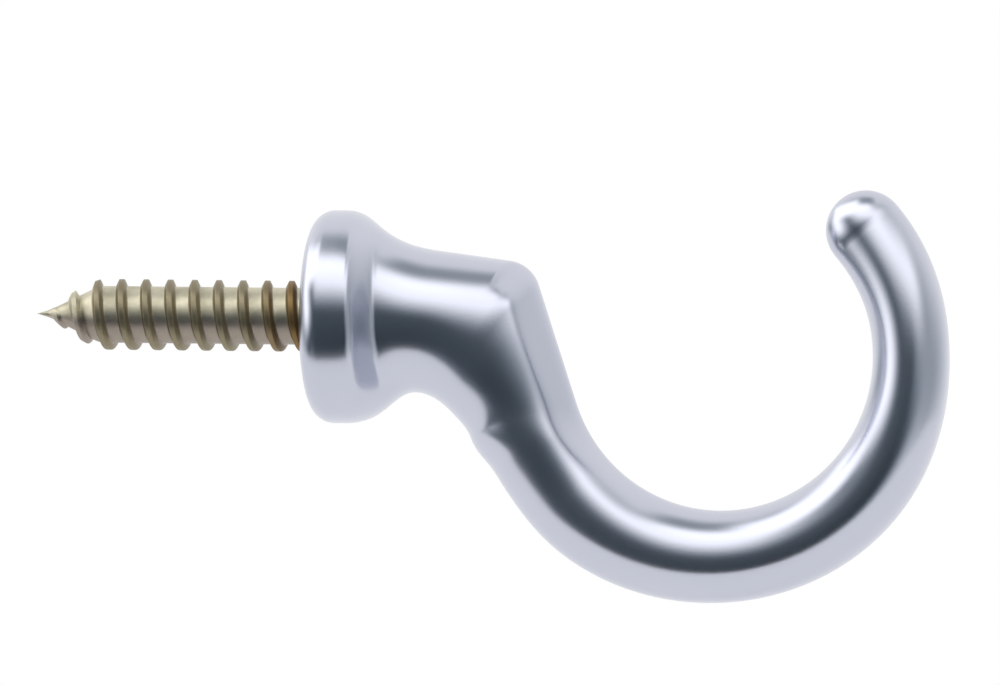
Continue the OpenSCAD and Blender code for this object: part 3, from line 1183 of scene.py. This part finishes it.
@dataclass
class WoodScrew:
    """The screw: a right-hand wood thread that starts on a gimlet point, and its cast-in end."""

    name: str = "wood_screw_thread"
    node: str = "wood_screw"
    finish: Finish = field(default_factory=YellowZinc)

    thread_d: float = 5.0
    core_d: float = 4.0
    pitch: float = 1.74
    crest_w: float = 0.36
    root_band: float = 0.86
    screw_len: float = 19.9
    point_len: float = 4.5
    needle_len: float = 0.95
    needle_r: float = 0.28
    thread_end: float = 0.3
    fade_end: float = 0.55
    runout: float = 1.2
    point_ease: float = 0.25

    anchor_r: float = 2.2
    anchor_end: float = 7.4
    groove_r: float = 1.75
    groove_start: float = 3.4
    groove_end: float = 4.8
    rounding: float = 0.08

    root_rounding: float = 0.05
    crest_rounding: float = 0.06
    root_points: tuple[float, ...] = (0.3, 0.5, 0.7)
    corner_steps: int = 3
    sides: int = 72
    spare_turns: int = 2

    def profile(self) -> list[np.ndarray]:
        """Draws the thread over one pitch.

        Returns:
            The points of its outline, as [place, share of the full height].
        """
        rise = (self.root_band - self.crest_w) / 2
        lap = self.root_rounding
        corners = (
            (-lap, 0.0, 0),
            (0.0, 0.0, self.root_rounding),
            (rise, 1.0, self.crest_rounding),
            (rise + self.crest_w, 1.0, self.crest_rounding),
            (self.root_band, 0.0, self.root_rounding),
            (self.root_band + lap, 0.0, 0),
        )
        walk = rounded(corners, self.corner_steps)[1:-1]
        gap = self.pitch - self.root_band
        walk += [np.array([self.root_band + gap * share, 0.0]) for share in self.root_points]
        return walk

    def anchor(self) -> list[np.ndarray]:
        """Draws the cast-in end.

        Returns:
            The points of its outline, as [x, radius].
        """
        corners = (
            (self.thread_end, self.core_d / 2),
            (self.thread_end, self.anchor_r),
            (self.groove_start, self.anchor_r),
            (self.groove_start, self.groove_r),
            (self.groove_end, self.groove_r),
            (self.groove_end, self.anchor_r),
            (self.anchor_end, self.anchor_r),
            (self.anchor_end, 0.0),
        )
        return rounded([(x, radius, self.rounding) for x, radius in corners], self.corner_steps)

    def tree(self) -> ShapeTree:
        """Builds the rule that winds the thread's outline round the core.

        Returns:
            The tree.
        """
        shape = ShapeTree("wound_thread")
        make = shape.make
        counts = shape.add_inputs(("Lines", "Turns", "Anchor rows", "Sides"), "NodeSocketInt")
        lines, turns, anchor_rows, sides = counts
        pitch, core_r, height, length = shape.add_inputs(
            ("Pitch", "Core radius", "Thread height", "Length")
        )
        point, needle, needle_r, ease = shape.add_inputs(
            ("Point length", "Needle length", "Needle radius", "Point ease")
        )
        end, fade, runout = shape.add_inputs(("Thread end", "Fade end", "Runout"))
        finish = shape.add_input("Finish", "NodeSocketMaterial")

        wound_rows = lines * turns + 1.0
        net, row, column = shape.grid(wound_rows + anchor_rows, sides + 1.0)
        line = make.math("FLOORED_MODULO", row, lines)
        turn = make.math("FLOOR", (row + 0.5) / lines)
        share = column / sides
        place, _, level = make.parts(shape.read("position", line, "FLOAT_VECTOR"))
        x = (turn + share - float(self.spare_turns)) * pitch + place - length
        x = make.math("MINIMUM", make.math("MAXIMUM", x, length * -1.0), end)

        from_tip = x + length
        past_needle = (from_tip - needle) / (point - needle)
        on_needle = needle_r * (from_tip / needle)
        on_point = past_needle * (core_r - needle_r) + needle_r
        cone = make.math("MAXIMUM", on_needle, on_point)
        core = make.math("SMOOTH_MIN", cone, core_r, ease)
        start_share = make.held((from_tip - needle) / pitch)
        end_share = make.held((fade - x) / runout)
        wound_r = make.math("MAXIMUM", level * (start_share * end_share * height) + core, 0.0)

        past = row - wound_rows
        is_anchor = make.math("GREATER_THAN", past, -0.5)
        anchor_x, _, anchor_r = make.parts(shape.read("position", lines + past, "FLOAT_VECTOR"))
        x = is_anchor * (anchor_x - x) + x
        radius = is_anchor * (anchor_r - wound_r) + wound_r
        angle = share * (2 * math.pi)
        across, up = make.math("COSINE", angle), make.math("SINE", angle)
        shape.close(net, make.combine(x, radius * across, radius * up), finish)
        return shape

    def build(self) -> bpy.types.Object:
        """Winds the thread, adds the cast-in end and lets them stand for the screw's node.

        Returns:
            The finished piece.
        """
        profile, anchor = self.profile(), self.anchor()
        places = [(x * MM, 0.0, share) for x, share in profile]
        places += [(x * MM, 0.0, radius * MM) for x, radius in anchor]
        mesh = station_mesh(self.name + "_stations", np.array(places), {})
        span = self.screw_len + self.thread_end
        material = self.finish.build()
        piece = self.tree().skin(
            self.name,
            mesh,
            {
                "Lines": len(profile),
                "Turns": math.ceil(span / self.pitch) + 2 * self.spare_turns,
                "Anchor rows": len(anchor),
                "Sides": self.sides,
                "Pitch": self.pitch * MM,
                "Core radius": self.core_d / 2 * MM,
                "Thread height": (self.thread_d - self.core_d) / 2 * MM,
                "Length": self.screw_len * MM,
                "Point length": self.point_len * MM,
                "Needle length": self.needle_len * MM,
                "Needle radius": self.needle_r * MM,
                "Point ease": self.point_ease * MM,
                "Thread end": self.thread_end * MM,
                "Fade end": self.fade_end * MM,
                "Runout": self.runout * MM,
                "Finish": material,
            },
        )
        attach(piece, "root")
        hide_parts(self.node)
        return piece


@dataclass(frozen=True)
class Patch:
    """One soft-edged patch of the room, as seen from the object, in degrees.

    Attributes:
        centre: Its middle, across and up.
        width: Its width before it is turned.
        height: Its height before it is turned.
        level: Its brightness, where the room's white is 1.
        turn: How far it is turned.
        softness: Half the width of its soft edge.
    """

    centre: tuple[float, float]
    width: float
    height: float
    level: float
    turn: float
    softness: float


@dataclass
class Studio:
    """The plain studio: a pale floor, a white surround with soft boxes, and the camera."""

    floor_drop: float = 60.0
    floor_r: float = 240.0
    floor_centre: tuple[float, float] = (13.0, 180.0)
    floor_sides: int = 96
    floor_colour: Colour = (0.9, 0.9, 0.9)
    floor_roughness: float = 0.9
    view_azimuth: float = 10.0
    view_roll: float = 0.6
    view_distance: float = 2000.0
    view_width: float = 70.4
    view_centre: tuple[float, float] = (13.3, -1.7)
    sensor: float = 36.0
    clip: tuple[float, float] = (10.0, 20000.0)
    white: Colour = (1.0, 1.0, 1.0)
    dark_tint: Colour = (0.62, 0.84, 1.0)
    mid_tint: Colour = (0.89, 0.97, 1.0)
    mid_level: float = 0.5
    camera_side: Patch = Patch((5.0, 0.0), 130.0, 85.0, 0.05, turn=30.0, softness=20.0)
    right_screen: Patch = Patch((70.0, 10.0), 115.0, 70.0, 0.5, turn=-35.0, softness=30.0)
    left_screen: Patch = Patch((-55.0, 15.0), 120.0, 105.0, 0.1, turn=40.0, softness=20.0)
    key_box: Patch = Patch((-50.0, 60.0), 110.0, 45.0, 1.9, turn=10.0, softness=10.0)
    strip_box: Patch = Patch((10.0, 40.0), 100.0, 30.0, 1.7, turn=0.0, softness=20.0)
    side_box: Patch = Patch((-85.0, 15.0), 35.0, 60.0, 1.9, turn=30.0, softness=20.0)
    top_screen: Patch = Patch((-5.0, 85.0), 45.0, 30.0, 0.4, turn=0.0, softness=10.0)

    def camera(self) -> bpy.types.Object:
        """Places the camera, level with the object and a little towards its open end.

        Returns:
            The camera.
        """
        data = bpy.data.cameras.new("camera")
        data.sensor_width = self.sensor
        data.lens = self.sensor * self.view_distance / self.view_width
        data.clip_start, data.clip_end = (distance * MM for distance in self.clip)
        made = placed("camera", data)
        turn = math.radians(self.view_azimuth)
        target = Vector((self.view_centre[0], 0.0, self.view_centre[1])) * MM
        back = Vector((math.sin(turn), -math.cos(turn), 0.0))
        made.location = target + back * self.view_distance * MM
        level = (-back).to_track_quat("-Z", "Y").to_matrix().to_4x4()
        roll = Matrix.Rotation(math.radians(self.view_roll), 4, "Z")
        made.matrix_world = Matrix.Translation(made.location) @ level @ roll
        bpy.context.scene.camera = made
        return made

    def floor(self) -> bpy.types.Object:
        """Lays the pale floor below the hook.

        Returns:
            The floor.
        """
        rim = []
        for i in range(self.floor_sides):
            out = self.floor_r * along(360 * i / self.floor_sides) + np.array(self.floor_centre)
            rim.append((out[0] * MM, out[1] * MM, -self.floor_drop * MM))
        mesh = bpy.data.meshes.new("floor")
        mesh.from_pydata(rim, [], [tuple(range(len(rim)))])
        made = placed("floor", mesh)
        material = bpy.data.materials.new("pale_floor")
        material.use_nodes = True
        shader = material.node_tree.nodes["Principled BSDF"]
        shader.inputs["Base Color"].default_value = (*self.floor_colour, 1.0)
        shader.inputs["Roughness"].default_value = self.floor_roughness
        mesh.materials.append(material)
        return made

    def soft_area(self, make: NodeMaker, across: Term, up: Term, patch: Patch) -> Term:
        """Gives the mask of one patch.

        Args:
            make: The world's node maker.
            across: The direction across, in degrees.
            up: The direction up, in degrees.
            patch: The patch.

        Returns:
            A mask that is 1 in the patch and falls to 0 through its soft edge.
        """

        def rule(make: NodeMaker, *given: Term) -> Term:
            """Makes the mask of a turned rectangle with a soft edge.

            Args:
                make: The group's node maker.
                *given: The direction, and then the rectangle's middle, sizes, turn and softness.

            Returns:
                The mask.
            """
            across, up, centre_across, centre_up, half_width, half_height, turn, softness = given
            dx, dy = across - centre_across, up - centre_up
            turn = make.math("RADIANS", turn)
            cos, sin = make.math("COSINE", turn), make.math("SINE", turn)
            inside = (
                half_width - make.math("ABSOLUTE", dx * cos + dy * sin),
                half_height - make.math("ABSOLUTE", dy * cos - dx * sin),
            )
            in_width, in_height = (make.ease(depth, softness * -1.0, softness) for depth in inside)
            return in_width * in_height

        fed = {
            "Across": across,
            "Up": up,
            "Centre across": patch.centre[0],
            "Centre up": patch.centre[1],
            "Half width": patch.width / 2,
            "Half height": patch.height / 2,
            "Turn": patch.turn,
            "Softness": patch.softness,
        }
        group = mask_group("soft_box", tuple(fed), rule)
        return make.result("ShaderNodeGroup", fed, "Mask", node_tree=group)

    def surround(self) -> None:
        """Lights the world: a white room, dark on the camera's side, with soft boxes above it.

        Directions are degrees across and up from the direction in which the camera stands, and
        are fixed in the room.  Where the camera looks past the object, the room is plain white.
        """
        world = bpy.data.worlds.new("surround")
        world.use_nodes = True
        bpy.context.scene.world = world
        make = NodeMaker(world.node_tree)
        ray = make.result("ShaderNodeTexCoord", {}, "Generated")
        turn = math.radians(self.view_azimuth)
        to_camera = (math.sin(turn), -math.cos(turn), 0.0)
        to_right = (math.cos(turn), math.sin(turn), 0.0)
        ahead, right, above = (
            make.vector("DOT_PRODUCT", ray, way) for way in (to_camera, to_right, (0.0, 0.0, 1.0))
        )
        angle = make.math("DEGREES", make.math("ARCCOSINE", ahead))
        side = make.math("ARCTAN2", above, right)
        across, up = angle * make.math("COSINE", side), angle * make.math("SINE", side)

        light: Value = 1.0
        screens = (self.camera_side, self.right_screen, self.left_screen)
        boxes = (self.key_box, self.strip_box, self.side_box)
        for patch in (*screens, *boxes, self.top_screen):
            mask = self.soft_area(make, across, up, patch)
            light = mask * (patch.level - light) + light

        tints = ((0.0, self.dark_tint), (self.mid_level, self.mid_tint), (1.0, self.white))
        background = world.node_tree.nodes["Background"]
        make.feed(background, {"Strength": light, "Color": make.ramp(light, tints)})
        behind = make.result("ShaderNodeBackground", {"Color": (*self.white, 1.0)})
        seen = make.result("ShaderNodeLightPath", {}, "Is Camera Ray")
        room = {0: seen, 1: Term(make, background.outputs[0]), 2: behind}
        chosen = make.result("ShaderNodeMixShader", room)
        make.feed(world.node_tree.nodes["World Output"], {"Surface": chosen})

    def build(self) -> None:
        """Sets the camera, the floor and the light."""
        self.camera()
        self.floor()
        self.surround()
        bpy.context.scene.view_settings.view_transform = "Standard"


def report(piece: bpy.types.Object) -> None:
    """Logs a piece's name, triangles and size in millimetres.

    Args:
        piece: The finished piece.
    """
    piece.data.calc_loop_triangles()
    size = " x ".join(f"{value / MM:.2f}" for value in piece.dimensions)
    LOG.info("%s: %d triangles, %s mm", piece.name, len(piece.data.loop_triangles), size)


def main() -> None:
    """Builds the pieces and the studio."""
    logging.basicConfig(level=logging.INFO, format="%(name)s: %(message)s")
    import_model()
    for part in (HookBody(), WoodScrew()):
        report(part.build())
    Studio().build()
    bpy.context.view_layer.update()


if __name__ == "__main__":
    main()
